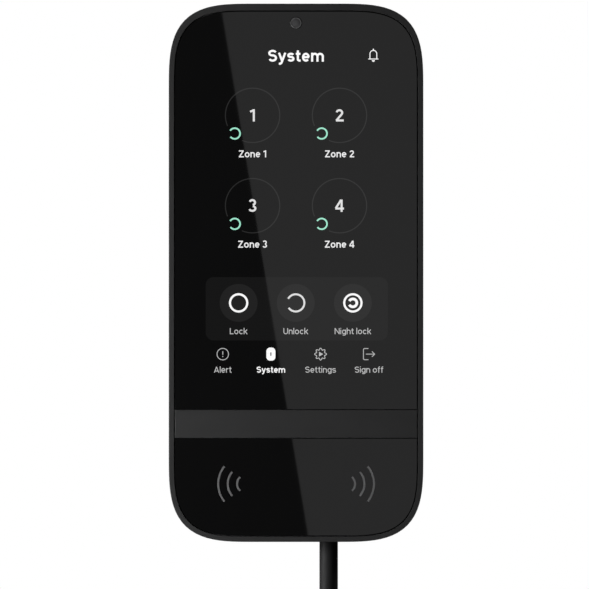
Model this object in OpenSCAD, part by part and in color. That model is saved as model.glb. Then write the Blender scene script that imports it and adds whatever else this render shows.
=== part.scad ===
// Alarm keypad with a touch display, hung on a wall bracket, with its low-voltage supply lead.
// The origin is the centre of the bracket's back face, on the wall. +Z is up, +X is to the right for
// someone who faces the keypad, and the glass faces -Y. A depth is a distance from the wall, along -Y.

/* [Case] */
// Width of the case
body_w = 82; // [81:0.5:84]
// Height of the case
body_h = 173.4; // [172.4:0.2:175]
// Depth from the wall to the face of the glass
body_d = 22; // [22:0.5:24]
// Reach of a rounded corner along each side
corner_reach = 27.6; // [26:0.2:29]
// Squareness of the corner curve, where 2 is a circle
corner_power = 3.3; // [3:0.1:3.6]
// Thickness of the case's walls
wall = 2; // [1.9:0.1:2.1]
// Depth at which the two shells meet
split_depth = 11.5; // [11:0.5:12]

/* [Front] */
// Width of the rim around the glass at the sides
rim = 1.7; // [1.5:0.1:1.7]
// How much thicker the rim is above and below the glass
end_rim = 0.25; // [0:0.05:0.3]
// Gap between the rim and the glass
glass_gap = 0.3; // [0.2:0.05:0.35]
// How far the glass sits below the middle of the case
glass_drop = 0.25; // [0:0.05:0.3]
// Thickness of the cover glass
glass_t = 1.1; // [1:0.1:1.2]
// Height of the middle of the satin band
strip_z = -48.7; // [-49.2:0.1:-48.3]
// Height of the satin band
strip_h = 9; // [8.6:0.1:9.2]
// Radius of the light sensor's window
lens_r = 1.75; // [1.5:0.05:2]

/* [Display] */
// Width of the display module
lcd_w = 65.4; // [64:0.2:66]
// Height of the display module
lcd_h = 118.4; // [117:0.2:119]
// Height of the middle of the display module
lcd_z = 17.2; // [17:0.1:17.6]

/* [Wall bracket] */
// Thickness of the bracket's plate
plate_t = 1.5; // [1.3:0.1:1.6]
// Distance between the screw holes across
screw_gap_x = 48; // [46:1:50]
// Distance between the screw holes up and down
screw_gap_z = 96; // [94:1:97]
// Radius of a screw hole
screw_hole_r = 2.2; // [1.8:0.1:2.4]
// How far the keypad slides up to come off its hooks
slide_travel = 7; // [6:0.5:7]

/* [Batteries] */
// Diameter of a CR123A cell
cell_d = 16.6; // [16.2:0.1:16.6]
// Length of a CR123A cell with its contact
cell_l = 34; // [33.4:0.1:34.2]
// Height of the middle of the cells
cell_z = -55.5; // [-55.7:0.1:-55.3]

/* [Supply lead] */
// Diameter of the lead
cable_d = 6; // [5:0.1:6]
// Distance of the lead to the right of the middle
cable_x = 10.6; // [10:0.1:11]
// Depth of the lead's centre
cable_depth = 8; // [8:0.1:8.2]
// Radius of the largest turn of the folded lead
hank_r = 31.5; // [31.5:0.5:34]
// Length of the straight runs of the folded lead
hank_run = 58; // [50:1:60]

/* [Hidden] */
$fn = 48;
corner_steps = 12;
// An inset outline keeps the wall's thickness on the diagonal when its corner reach shrinks at this rate.
corner_shrink = (1 - sqrt(0.5)) / (1 - pow(0.5, 1 / corner_power));
corner_sides = [[1, 1], [-1, 1], [-1, -1], [1, -1]];
bottom_z = -body_h / 2;

// Depths of the layers behind the glass
glass_back = body_d - glass_t;
tape_t = 0.3;
tape_back = glass_back - tape_t;
lcd_back = tape_back - 1.4;
light_back = lcd_back - 1.8;
tray_t = 0.4;
tray_back = light_back - tray_t;
board_t = 1.6;
board_front = tray_back - 2;
board_back = board_front - board_t;
shelf_t = 1.6;
shelf_back = tape_back - shelf_t;
reader_front = tape_back - 0.1;
reader_t = 0.6;
power_front = 15.2;
power_back = 14;

// Depths of the layers in front of the wall
back_gap = 0.4;
back_r = 2;
floor_t = 1.6;
low_floor = plate_t + 0.4;
low_inside = low_floor + floor_t;
high_floor = 4.2;
high_inside = high_floor + floor_t;
recess = 2.6;
step_z = -42;

// Glass, band and sensor
nose_r = 1.2;
glass_inset = rim + glass_gap;
strip_top = strip_z + strip_h / 2;
strip_bottom = strip_z - strip_h / 2;
strip_gap = 0.15;
lens_z = 80.45;

// Screws that join the shells, and screws of the main board: x and z
case_screw_at = [for (x = [-36.2, 36.2], z = [-38, 58]) [x, z]];
board_screw_at = [for (x = [-27.5, 27.5], z = [-30, 72]) [x, z]];
case_shank_r = 1.1;
board_shank_r = 0.9;
pilot_gap = 0.05;

// Bracket
bracket_inset = 3.2;
hook_w = 8;
hook_stem = 4;
hook_h = 9;
hook_t = 1.6;
hook_at = [for (x = [-20, 20], z = [-20, 46]) [x, z]];
screw_mid_z = 18;
tab_z = 40;
tab_r = 9.5;
tab_screw_z = 33.6;
flange_x = -10.6;
flange_w = 11;
flange_low = flange_x - flange_w / 2;
flange_high = flange_x + flange_w / 2;
flange_t = 2.4;
flange_depth = 9;
flange_top = bottom_z + 0.2 + flange_t;
lock_depth = 5.5;
lock_r = 1.45;
lock_l = 9;

// Chips, inductors and capacitors on the back of the main board: x, z, width, height, thickness
chips = [[-8, 62, 10, 10, 1.2], [12, 66, 7, 7, 1], [-8, 8, 8, 8, 1.1], [-20, -8, 6, 6, 2.4],
         [-24, 4, 4, 6, 1.6], [-10, -22, 12, 5, 1], [10, -24, 5, 5, 1], [22, -6, 3.4, 6, 2],
         [22, 54, 4, 4, 1.4], [-14, -32, 3, 5, 1.8]];

// Buttons on the back: x, z
tamper_at = [0, tab_z];
power_at = [22, 22];

// Door over the cells and the wiring bay
door_inset = 4;
door_t = 1;
door_top = -45.5;
door_bottom = -82.4;
door_ledge = 1.2;
door_screw_at = [[-30, -79], [30, -79]];
door_cup_r = 3;
door_seat_r = 5;
door_cup_depth = 4.6;

// Cells, in one row from contact to contact
cell_depth = 3 + cell_d / 2;
contact_t = 0.4;
spring_l = 2.8;
row_l = 2 * cell_l + spring_l + 2 * contact_t;
row_x = -row_l / 2;
cells_x = row_x + contact_t + spring_l;

// Wiring bay
entry_top = -75;
clamp_z = -80.8;
clamp_h = 4.4;
clamp_base = cable_depth + cable_d / 2 + 0.1;
clamp_top = cable_depth - cable_d / 2 - 1.2;
clamp_screw_at = [for (side = [-1, 1]) [cable_x + side * 5.4, clamp_z + clamp_h / 2]];
clamp_seat_x = 7.4;
grommet_r = cable_d / 2 + 1.35;
grommet_flange_r = cable_d / 2 + 2.25;
terminal_z = -69.6;
wire_r = 0.65;
// Routes of the wires, as x and z: from the lead to a terminal, and from the power board to the main board
supply_wire_route = [[1.4, entry_top + 0.05], [1.4, entry_top + 0.6], [2.1, entry_top + 1.2],
                     [2.5, entry_top + 2], [2.5, terminal_z - 1.6]];
link_wire_route = [[-30, -66.9], [-30, -66.3], [-31.5, -65.1], [-36, -63.6], [-37.6, -62], [-38, -60],
                   [-38, -50], [-37.4, -47], [-35, -44], [-29, -40.4], [-26, -38.4], [-25.4, -37.4],
                   [-25.4, -36.7]];

// Route of the supply lead outside the case, down to the folded stretch, and of its tail
supply_route = [for (z = [bottom_z, -100, -115, -130, -142]) [cable_x, -cable_depth, z]];
layer_gap = 6.3;
tail_depth = cable_depth + layer_gap;
hank_top = -142;
hank_bottom = hank_top - hank_run;
tail_route = [for (z = [0, -14, -28, -39]) [cable_x, -tail_depth, hank_bottom + z]];
plug_top = hank_bottom - 39;
hank_x = cable_x - hank_r;
hank_back = cable_depth - cable_d / 2;
hank_front = tail_depth + cable_d / 2;
hank_inner_r = hank_r - 2 * layer_gap - cable_d / 2;
hank_outer_r = hank_r + cable_d / 2;

// Points of the case's outline, moved in by inset, seen from the front; ends moves its ends in further
function outline_points(inset, ends = 0) = let (
    reach = corner_reach - inset * corner_shrink,
    power = 2 / corner_power
) [for (q = [0:3], i = [0:corner_steps]) let (turn = 90 * (q + i / corner_steps)) [
    corner_sides[q][0] * (body_w / 2 - inset - reach * (1 - pow(abs(cos(turn)), power))),
    corner_sides[q][1] * (body_h / 2 - inset - ends - reach * (1 - pow(abs(sin(turn)), power)))
]];

function unit(v) = v / norm(v);

// A flat shape seen from the front, given thickness between two depths
module slab(near, far) translate([0, -near, 0]) rotate([90, 0, 0]) linear_extrude(far - near) children();
module outline(inset = 0) polygon(outline_points(inset));
module glass_outline(inset = 0) translate([0, -glass_drop]) polygon(outline_points(inset, end_rim));
// The stretch of a flat shape between two heights
module between(low, high) intersection() {
    children();
    translate([-body_w, low]) square([2 * body_w, high - low]);
}
module block(x, near, far, z) translate([x[0], -far, z[0]]) cube([x[1] - x[0], far - near, z[1] - z[0]]);
// A block given by the middle of its face
module part_at(at, size, near, far) {
    x = [at[0] - size[0] / 2, at[0] + size[0] / 2];
    z = [at[1] - size[1] / 2, at[1] + size[1] / 2];
    block(x, near, far, z);
}
module peg(at, near, far, r, r2 = undef)
    translate([at[0], -near, at[1]]) rotate([90, 0, 0])
        cylinder(h = far - near, r1 = r, r2 = is_undef(r2) ? r : r2);
// A cross-head screw whose head starts at a depth; turn = 180 puts the head towards the room
module screw(at, head_at, head_r, head_h, shank_r, shank_l, turn = 0)
    translate([at[0], -head_at, at[1]]) rotate([90 + turn, 0, 0]) difference() {
        union() {
            cylinder(h = head_h, r = head_r);
            cylinder(h = head_h + shank_l, r = shank_r);
        }
        for (cross = [0, 90]) rotate([0, 0, cross])
            translate([-head_r * 0.6, -0.2, -0.1]) cube([head_r * 1.2, 0.4, head_h * 0.6 + 0.1]);
    }
// A round rod swept along a path; side is any direction that the path never runs in
module swept(path, r, sides, side) {
    last = len(path) - 1;
    rings = [for (i = [0:last]) let (
        along = unit(path[min(i + 1, last)] - path[max(i - 1, 0)]),
        u = unit(cross(along, side)),
        v = cross(along, u)
    ) for (s = [0:sides - 1]) path[i] + r * (cos(360 * s / sides) * u + sin(360 * s / sides) * v)];
    walls = [for (i = [0:last - 1], s = [0:sides - 1]) let (
        a = i * sides + s,
        b = i * sides + (s + 1) % sides
    ) each [[a, a + sides, b], [b, a + sides, b + sides]]];
    caps = [[for (s = [0:sides - 1]) s], [for (s = [sides - 1:-1:0]) last * sides + s]];
    polyhedron(points = rings, faces = concat(walls, caps));
}

// Bracket ------------------------------------------------------------------------------------------

module bracket_plan() between(flange_top + slide_travel, body_h) intersection() {
    outline(bracket_inset);
    translate([0, slide_travel + 0.3]) outline(bracket_inset);
}

module tab_slots() difference() {
    circle(tab_r);
    circle(tab_r - 1);
    for (turn = [30, 150, 270]) rotate(turn) translate([0, -0.7]) square([tab_r + 1, 1.4]);
}

module hook(at) {
    x = [at[0] - hook_w / 2, at[0] + hook_w / 2];
    near = high_inside + 0.2;
    block(x, plate_t - 0.1, near + hook_t, [at[1], at[1] + hook_stem]);
    block(x, near, near + hook_t, [at[1], at[1] + hook_h]);
}

module wall_bracket() color("#2b2b2e") difference() {
    union() {
        slab(0, plate_t) bracket_plan();
        // stiffening rib around the upper part
        slab(plate_t - 0.1, 3) between(-32, body_h) difference() {
            bracket_plan();
            intersection() {
                outline(bracket_inset + 1.2);
                translate([0, slide_travel + 0.3]) outline(bracket_inset + 1.2);
            }
        }
        for (at = hook_at) hook(at);
        // tongue and flange that the holding screw passes
        block([flange_low, flange_high], 0, plate_t, [bottom_z + 0.2, -60]);
        block([flange_low, flange_high], 0, flange_depth, [bottom_z + 0.2, flange_top]);
    }
    for (x = [-1, 1], z = [-1, 1])
        peg([x * screw_gap_x / 2, screw_mid_z + z * screw_gap_z / 2], -1, plate_t + 1, screw_hole_r);
    slab(-1, plate_t + 1) translate([0, tab_z]) tab_slots();
    peg([0, tab_screw_z], -1, plate_t + 1, screw_hole_r);
    // window for wires that come out of the wall
    block([-14, 14], -1, plate_t + 1, [5, 23]);
    // two lightening windows
    for (x = [-24, 24]) block([x - 8, x + 8], -1, plate_t + 1, [-70, -44]);
    translate([flange_x, -lock_depth, bottom_z]) {
        cylinder(h = 4, r = lock_r + 0.1);
        translate([0, 0, 0.1]) cylinder(h = 1.7, r1 = 2.95, r2 = lock_r + 0.1);
    }
}

module holding_screw() color("#9a9da1") translate([flange_x, -lock_depth, bottom_z + 0.3]) difference() {
    union() {
        cylinder(h = 1.4, r1 = 2.7, r2 = lock_r);
        cylinder(h = lock_l, r = lock_r);
    }
    for (cross = [0, 90]) rotate([0, 0, cross]) translate([-1.4, -0.25, -0.1]) cube([2.8, 0.5, 0.9]);
}

// Shells -------------------------------------------------------------------------------------------

// Outer form of the rear shell, rounded towards the wall
module case_back() hull() {
    for (turn = [0:30:60])
        slab(back_gap + back_r * (1 - cos(turn)), back_gap + back_r * (1 - cos(turn)) + 0.01)
            outline(back_r * (1 - sin(turn)));
    slab(back_gap + back_r, split_depth - 0.4) outline();
}

// Outer form of the front shell, rounded towards the room
module case_front() hull() {
    slab(split_depth, body_d - nose_r) outline();
    for (turn = [0:30:90]) let (depth = body_d - nose_r * (1 - sin(turn)))
        slab(depth - 0.01, depth) outline(nose_r * (1 - cos(turn)));
}

module door_plan(inset)
    between(door_bottom + (inset - door_inset), door_top - (inset - door_inset)) outline(inset);

module housing_ribs() {
    // columns of the case screws and posts of the main board
    for (at = case_screw_at) peg(at, high_inside - 0.1, split_depth, 2.6);
    for (at = board_screw_at) peg(at, high_inside - 0.1, board_back, 2.5);
    // cradle of the cells
    for (z = [cell_z - cell_d / 2 - 1.2, cell_z + cell_d / 2 + 0.2]) for (x = [-39.3, 22])
        block([x, x + 17.3], low_inside - 0.1, 9, [z, z + 1]);
    for (x = [row_x - 1.2, row_x + row_l + 0.1])
        block([x, x + 1.1], low_inside - 0.1, 16, [cell_z - 6, cell_z + 6]);
    // seat of the holding screw
    block([flange_low - 0.8, flange_high + 0.8], low_inside - 0.1, flange_depth + 2,
          [bottom_z + wall - 0.1, -76.5]);
    // base of the cable clamp, on two cheeks
    block([cable_x - clamp_seat_x, cable_x + clamp_seat_x], clamp_base, clamp_base + 2.6,
          [bottom_z + wall + 0.1, clamp_z + clamp_h]);
    for (side = [-1, 1]) translate([cable_x + side * (clamp_seat_x + 0.5), 0, 0])
        block([-0.6, 0.6], low_inside - 0.1, clamp_base + 0.3, [bottom_z + wall - 0.1, door_bottom + 0.8]);
    // seats of the door screws
    for (at = door_screw_at) slab(door_cup_depth, 9) intersection() {
        translate(at) circle(door_seat_r);
        outline(wall - 0.4);
    }
}

// Hole of the cable grommet, which both shells share
module grommet_hole() translate([cable_x, -cable_depth, bottom_z]) {
    translate([0, 0, -1]) cylinder(h = wall + 1.5, r = grommet_r + 0.1);
    translate([0, 0, wall]) cylinder(h = 1.1, r = grommet_flange_r + 0.15);
}

module housing_openings() {
    for (at = hook_at)
        block([at[0] - hook_w / 2 - 0.4, at[0] + hook_w / 2 + 0.4], 1, high_inside + 1,
              [at[1] - slide_travel - 0.5, at[1] + hook_stem + 0.05]);
    for (at = case_screw_at) {
        peg(at, high_floor - 1, high_floor + 2.2, 2.1);
        peg(at, high_floor, split_depth + 1, case_shank_r + pilot_gap);
    }
    for (at = board_screw_at) peg(at, 9.5, board_back + 1, board_shank_r + pilot_gap);
    // door rebate, opening and screw cups
    slab(1, low_floor + door_t + 0.05) door_plan(door_inset);
    slab(1, low_inside + 0.5) door_plan(door_inset + door_ledge);
    for (at = door_screw_at) {
        peg(at, 1, door_cup_depth, door_cup_r + 0.1);
        peg(at, door_cup_depth - 1, 8.5, board_shank_r + pilot_gap);
    }
    // pocket of the bracket's flange, and the bore of the holding screw
    block([flange_low - 0.4, flange_high + 0.4], -1, flange_depth + 0.4, [bottom_z - 1, flange_top + 0.2]);
    translate([flange_x, -lock_depth, bottom_z]) cylinder(h = 9.8, r = lock_r + 0.1);
    grommet_hole();
    for (at = clamp_screw_at) peg(at, clamp_base - 1, clamp_base + 2.2, board_shank_r + pilot_gap);
    // buttons
    peg(tamper_at, 1, high_inside + 1, 2.5);
    peg(power_at, 1, high_inside + 1, 3.2);
    // sounder slots
    for (z = [24:2.4:34]) block([-26, -18], 1, high_inside + 1, [z, z + 1]);
}

module rear_housing() color("#1f1f21") difference() {
    union() {
        difference() {
            case_back();
            slab(high_inside, split_depth) outline(wall);
            slab(low_inside, high_inside + 0.1) between(-body_h, step_z - floor_t) outline(wall);
            slab(-1, low_floor) outline(recess);
            slab(low_floor - 0.1, high_floor) between(step_z, body_h) outline(recess);
        }
        // lip of the joint between the shells
        slab(split_depth - 1, split_depth) difference() {
            outline(0.6);
            outline(wall);
        }
        housing_ribs();
    }
    housing_openings();
}

// Plan of the tongue, broken where columns, wires and the parts of the wiring bay pass
module tongue_plan(gap) difference() {
    outline(wall + gap);
    outline(wall + 0.9);
    for (at = case_screw_at) translate(at) circle(2.8);
    translate([-body_w / 2, cell_z - 11]) square([6, 24]);
    translate([-18, bottom_z]) square([37.4, 6]);
}

module front_frame() color("#2a2b2d") difference() {
    union() {
        difference() {
            case_front();
            slab(split_depth - 1, shelf_back) outline(wall);
            slab(tape_back, body_d + 1) glass_outline(rim);
            slab(shelf_back - 1, tape_back + 1) difference() {
                outline(wall + 3);
                between(strip_bottom - 1.3, strip_top + 0.8) outline();
            }
        }
        // tongue inside the rear shell, and the collar that it grows from
        slab(split_depth - 1.8, split_depth + 0.1) tongue_plan(0.05);
        slab(split_depth, split_depth + 1.2) tongue_plan(-0.1);
        for (at = case_screw_at) peg(at, split_depth + 0.05, shelf_back + 0.1, 2.4);
    }
    for (at = case_screw_at) peg(at, split_depth - 1, split_depth + 5.2, case_shank_r + pilot_gap);
    // thin the crossbar over the cells, and open it for the light guide
    slab(shelf_back - 1, tape_back - 0.8) between(strip_bottom - 2, strip_top + 2) outline(wall);
    block([-28.2, 28.2], shelf_back - 1, tape_back + 1, [-48.2, -44.4]);
    peg([0, lens_z], shelf_back - 1, tape_back + 1, lens_r + 0.1);
    grommet_hole();
}

// Glass, band and what lies against them -----------------------------------------------------------

module display_glass() color("#050506") difference() {
    slab(glass_back, body_d) between(strip_top + strip_gap, body_h) glass_outline(glass_inset);
    peg([0, lens_z], glass_back - 1, body_d + 1, lens_r + 0.05);
}

module reader_glass() color("#050506")
    slab(glass_back, body_d) between(-body_h, strip_bottom - strip_gap) glass_outline(glass_inset);

module indicator_strip() color("#303133")
    slab(tape_back, body_d) between(strip_bottom, strip_top) glass_outline(glass_inset);

module glass_tape() color("#101011") slab(tape_back, glass_back) {
    for (span = [[strip_top + 0.4, body_h], [-body_h, strip_bottom - 0.4]])
        between(span[0], span[1]) difference() {
            glass_outline(glass_inset + 0.2);
            glass_outline(glass_inset + 2.2);
            translate([0, lens_z]) circle(lens_r + 0.3);
        }
}

module optical_bond() color("#d8dde0", 0.4) part_at([0, lcd_z + 1.8], [62.6, 111.4], tape_back, glass_back);

module sensor_lens() color("#3c3d40") peg([0, lens_z], glass_back, body_d, lens_r);

module light_pipe() color("#c9ced2", 0.6) {
    peg([0, lens_z], board_front + 0.9, glass_back, lens_r - 0.35);
}

module light_sensor() color("#b9b39a") part_at([0, lens_z], [2, 2], board_front, board_front + 0.8);

module lcd_panel() color("#15171a") part_at([0, lcd_z], [lcd_w, lcd_h], lcd_back, tape_back);

module lcd_backlight() color("#e7e9ea")
    part_at([0, lcd_z], [lcd_w - 0.4, lcd_h - 0.4], light_back, lcd_back);

module lcd_tray() color("#aeb2b6") difference() {
    part_at([0, lcd_z], [lcd_w + 0.9, lcd_h + 0.9], tray_back, lcd_back + 0.6);
    part_at([0, lcd_z], [lcd_w + 0.1, lcd_h + 0.1], light_back, body_d);
    // slot for the flexible leads at the lower edge
    block([-13, 27], light_back - 1, body_d, [lcd_z - lcd_h / 2 - 1, lcd_z - lcd_h / 2]);
}

// A flexible lead from the panel's lower edge, folded back onto the main board
module flex(x, w, top) {
    edge = lcd_z - lcd_h / 2;
    t = 0.2;
    translate([x - w / 2, 0, 0]) rotate([90, 0, 90]) linear_extrude(w) difference() {
        union() {
            translate([-lcd_back - 0.8, edge - 0.75]) square([lcd_back - board_front + 0.75, 0.75]);
            translate([-board_front - 0.25, edge - 0.75]) square([0.25, top - edge + 0.75]);
        }
        translate([-lcd_back - 0.8 + t, edge - 0.75 + t]) square([lcd_back - board_front + 0.35, 1]);
    }
}

module display_flex() color("#b86f1f") flex(-2, 18, -32);
module touch_flex() color("#b86f1f") flex(19, 10, -34);

// Main board ---------------------------------------------------------------------------------------

module main_board() color("#12331f") difference() {
    slab(board_back, board_front) intersection() {
        outline(3.2);
        translate([-31, -38]) square([62, 121]);
    }
    for (at = board_screw_at) peg(at, board_back - 1, board_front + 1, 1.2);
}

module board_screws() color("#a5a8ab")
    for (at = board_screw_at) screw(at, board_front + 1.1, 1.9, 1.1, board_shank_r, board_t + 3.4, 180);

module board_chips() color("#1b1b1d")
    for (c = chips) part_at([c[0], c[1]], [c[2], c[3]], board_back - c[4], board_back);

module shield_can(at, size) difference() {
    part_at(at, size, board_back - 2.2, board_back);
    part_at(at, [size[0] - 0.5, size[1] - 0.5], board_back - 1.95, board_back + 1);
}
module shield_cans() color("#b9bcc0") {
    shield_can([10, 8], [18, 22]);
    shield_can([-22, 50], [14, 12]);
}

module board_sockets() color("#e6e0cf") {
    part_at([-2, -29.6], [20, 4.6], board_front, board_front + 1.2);
    part_at([19, -31.6], [12, 4.6], board_front, board_front + 1.2);
    part_at([-24.5, -34.6], [7, 4], board_back - 3.4, board_back);
}

module rf_antenna() color("#c08a4a") for (side = [-1, 1]) {
    part_at([side * 15, 80.4], [16, 0.5], board_front, board_front + 3.4);
    part_at([side * 15, 79.4], [16, 2.5], board_front + 2.9, board_front + 3.4);
}

module buzzer() color("#161617") difference() {
    peg([-22, 29], 8.6, board_back, 6.5);
    peg([-22, 29], 8, 9.4, 1.2);
}

// Card reader --------------------------------------------------------------------------------------

module reader_board() color("#0f3d2a")
    slab(reader_front - reader_t, reader_front) between(-body_h, -56.2) outline(wall + 3.2);

// Copper loop: four turns, each cut open at its own place
module reader_coil() color("#c77b45") slab(reader_front, tape_back) for (turn = [0:3]) {
    inset = wall + 4.2 + turn * 1.3;
    difference() {
        between(bottom_z + inset, -57 - turn * 1.3) outline(inset);
        between(bottom_z + inset + 0.7, -57.7 - turn * 1.3) outline(inset + 0.7);
        translate([20 - 3 * turn, -64]) square([1.2, 12]);
    }
}

// Light behind the band ----------------------------------------------------------------------------

module light_guide() color("#dfe4e6", 0.7) block([-28, 28], 18.6, tape_back, [-48, -44.6]);
module led_board() color("#f0f0ec") block([-29, 29], 17, 17.8, [-48.4, -43.6]);
module leds() color("#f4e9b0") for (x = [-25:10:25]) part_at([x, -46.2], [2, 1.6], 17.8, 18.5);

// Cells --------------------------------------------------------------------------------------------

module cell(x) translate([x, -cell_depth, cell_z]) rotate([0, 90, 0]) {
    cylinder(h = cell_l - 1, r = cell_d / 2);
    cylinder(h = cell_l, r = 3.4);
}
module battery_cell_left() color("#3f6f8f") cell(cells_x);
module battery_cell_right() color("#3f6f8f") cell(cells_x + cell_l);

module battery_contacts() color("#c6c8ca") for (x = [row_x, row_x + row_l - contact_t])
    block([x, x + contact_t], 6, 15, [cell_z - 5, cell_z + 5]);

// Conical spring, wide at its contact
module battery_spring() color("#c6c8ca") swept([for (step = [0:28]) let (turn = step * 30, r = 5 - step / 14) [
    row_x + contact_t + 0.4 + (spring_l - 0.8) * step / 28,
    -cell_depth + r * cos(turn),
    cell_z + r * sin(turn)
]], 0.3, 8, [1, 0, 0]);

module service_door() color("#1c1c1e") difference() {
    union() {
        slab(low_floor, low_floor + door_t) door_plan(door_inset + 0.15);
        for (at = door_screw_at) peg(at, low_floor, door_cup_depth, door_cup_r);
        // finger pull
        block([-6, 6], low_floor + 0.5, low_inside + 0.4, [door_top - 3.4, door_top - 2.4]);
    }
    for (at = door_screw_at) {
        peg(at, 1, low_floor + 1.7, 2);
        peg(at, 1, door_cup_depth + 1, board_shank_r + 0.1);
    }
}

module door_screws() color("#a5a8ab")
    for (at = door_screw_at) screw(at, low_floor + 0.5, 1.8, 1.2, board_shank_r, 4.2);

// Wiring bay ---------------------------------------------------------------------------------------

module power_board() color("#12331f") slab(power_back, power_front) between(-83, -65) outline(wall + 1.2);

module power_parts() color("#2c2c2e") {
    part_at([-21.5, -73.4], [7, 7], power_back - 4, power_back);
    for (x = [-12, -5]) peg([x, -70.5], power_back - 6, power_back, 2.5);
    part_at([-30, -69], [6, 4], power_back - 3.6, power_back);
    part_at([21, -71], [5, 4], power_back - 1.4, power_back);
    part_at([26.5, -71], [4, 8], power_back - 3.4, power_back);
}

module terminal_block() color("#2f8f4e") difference() {
    part_at([cable_x, terminal_z], [10.4, 7.6], 5.2, power_back);
    for (x = [-2.5, 2.5]) {
        peg([cable_x + x, terminal_z], 5, 8, 1.7);
        translate([cable_x + x, -cable_depth, terminal_z - 4]) cylinder(h = 4, r = 1.2);
    }
}
module terminal_screws() color("#b8babc")
    for (x = [-2.5, 2.5]) screw([cable_x + x, terminal_z], 5.6, 1.6, 1.2, 1.1, 0.4);

module cable_grommet() color("#0d0d0e") translate([cable_x, -cable_depth, bottom_z]) rotate_extrude() {
    translate([cable_d / 2 + 0.05, 0.1]) square([grommet_r - cable_d / 2 - 0.05, wall + 0.9]);
    translate([cable_d / 2 + 0.05, wall + 0.1]) square([grommet_flange_r - cable_d / 2 - 0.05, 0.9]);
}

module cable_clamp() color("#242427") difference() {
    saddle_r = cable_d / 2 + 0.02;
    block([cable_x - 7.2, cable_x + 7.2], clamp_top, clamp_base, [clamp_z, clamp_z + clamp_h]);
    translate([cable_x, -cable_depth, clamp_z - 1]) cylinder(h = clamp_h + 2, r = saddle_r);
    block([cable_x - saddle_r, cable_x + saddle_r], cable_depth, clamp_base + 1,
          [clamp_z - 1, clamp_z + clamp_h + 1]);
    for (at = clamp_screw_at) peg(at, 3, clamp_base + 1, board_shank_r + 0.1);
}
module clamp_screws() color("#a5a8ab")
    for (at = clamp_screw_at) screw(at, clamp_top - 0.7, 1.5, 0.7, board_shank_r, 8);

module cable_entry() color("#0c0c0d") translate([cable_x, -cable_depth, bottom_z])
    cylinder(h = entry_top - bottom_z, r = cable_d / 2);

module supply_wires() for (side = [-1, 1]) color(side < 0 ? "#a61e1e" : "#111111")
    swept([for (p = supply_wire_route) [cable_x + side * p[0], -cable_depth, p[1]]], wire_r, 8, [0, 1, 0]);

module link_wires() for (depth = [10.8, 12.2]) color(depth < 12 ? "#a61e1e" : "#111111")
    swept([for (p = link_wire_route) [p[0], -depth, p[1]]], wire_r, 8, [0, 1, 0]);

// Screws of the shells, buttons and switches -------------------------------------------------------

module case_screws() color("#a5a8ab")
    for (at = case_screw_at) screw(at, high_floor + 0.8, 2, 1.4, case_shank_r, 10.2);

module button(at, tip, r, flange_r, end) {
    peg(at, tip, end, r);
    peg(at, high_inside + 0.1, high_inside + 1.1, flange_r);
}
module tamper_button() color("#e8e8e6") button(tamper_at, plate_t + 0.15, 2.3, 3.8, 9);
module power_button() color("#3a3a3d") button(power_at, high_floor - 0.3, 3, 4.2, 9.3);

module tamper_spring() color("#c6c8ca") swept([for (step = [0:42]) let (turn = step * 30) [
    tamper_at[0] + 2.95 * cos(turn),
    -(high_inside + 1.4 + (board_back - high_inside - 5.2) * step / 42),
    tamper_at[1] + 2.95 * sin(turn)
]], 0.28, 8, [0, 1, 0]);

module switch_at(at, size, face, tip) {
    part_at(at, [size, size], face, board_back);
    peg(at, tip, face, 1.5);
}
module tamper_switch() color("#1a1a1b") switch_at(tamper_at, 7, board_back - 3.2, 10.1);
module power_switch() color("#1a1a1b") switch_at(power_at, 6, board_back - 3, 9.9);

module rating_label() color("#d9d9d6") part_at([0, -27], [26, 15], high_floor - 0.12, high_floor);

// Supply lead --------------------------------------------------------------------------------------

module stadium(r) {
    for (z = [hank_bottom, hank_top]) translate([hank_x, z]) circle(r, $fn = 72);
    translate([hank_x - r, hank_bottom]) square([2 * r, hank_run]);
}

module supply_cable() color("#0c0c0d") swept(supply_route, cable_d / 2, 12, [0, 1, 0]);
module cable_tail() color("#0c0c0d") swept(tail_route, cable_d / 2, 12, [0, 1, 0]);
module cable_hank() color("#0c0c0d") slab(hank_back, hank_front) difference() {
    stadium(hank_outer_r);
    stadium(hank_inner_r);
}

// Strap around the right-hand runs
module hank_tie() color("#1a1a1c") {
    low = hank_x + hank_inner_r;
    high = cable_x + cable_d / 2;
    mid = (hank_top + hank_bottom) / 2;
    difference() {
        block([low - 1.3, high + 1.3], hank_back - 1.3, hank_front + 1.3, [mid - 6, mid + 6]);
        block([low - 0.2, high + 0.2], hank_back - 0.2, hank_front + 0.2, [mid - 7, mid + 7]);
    }
}

module dc_plug_body() color("#0c0c0d") translate([cable_x, -tail_depth, plug_top]) rotate([180, 0, 0]) {
    cylinder(h = 10, r1 = 3.3, r2 = 3.9);
    translate([0, 0, 10]) cylinder(h = 13, r = 5);
}
module dc_plug_barrel() color("#c9cbce") translate([cable_x, -tail_depth, plug_top - 23]) rotate([180, 0, 0])
    difference() {
        cylinder(h = 9.5, r = 2.75);
        translate([0, 0, 1]) cylinder(h = 10, r = 1.25);
    }

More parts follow.
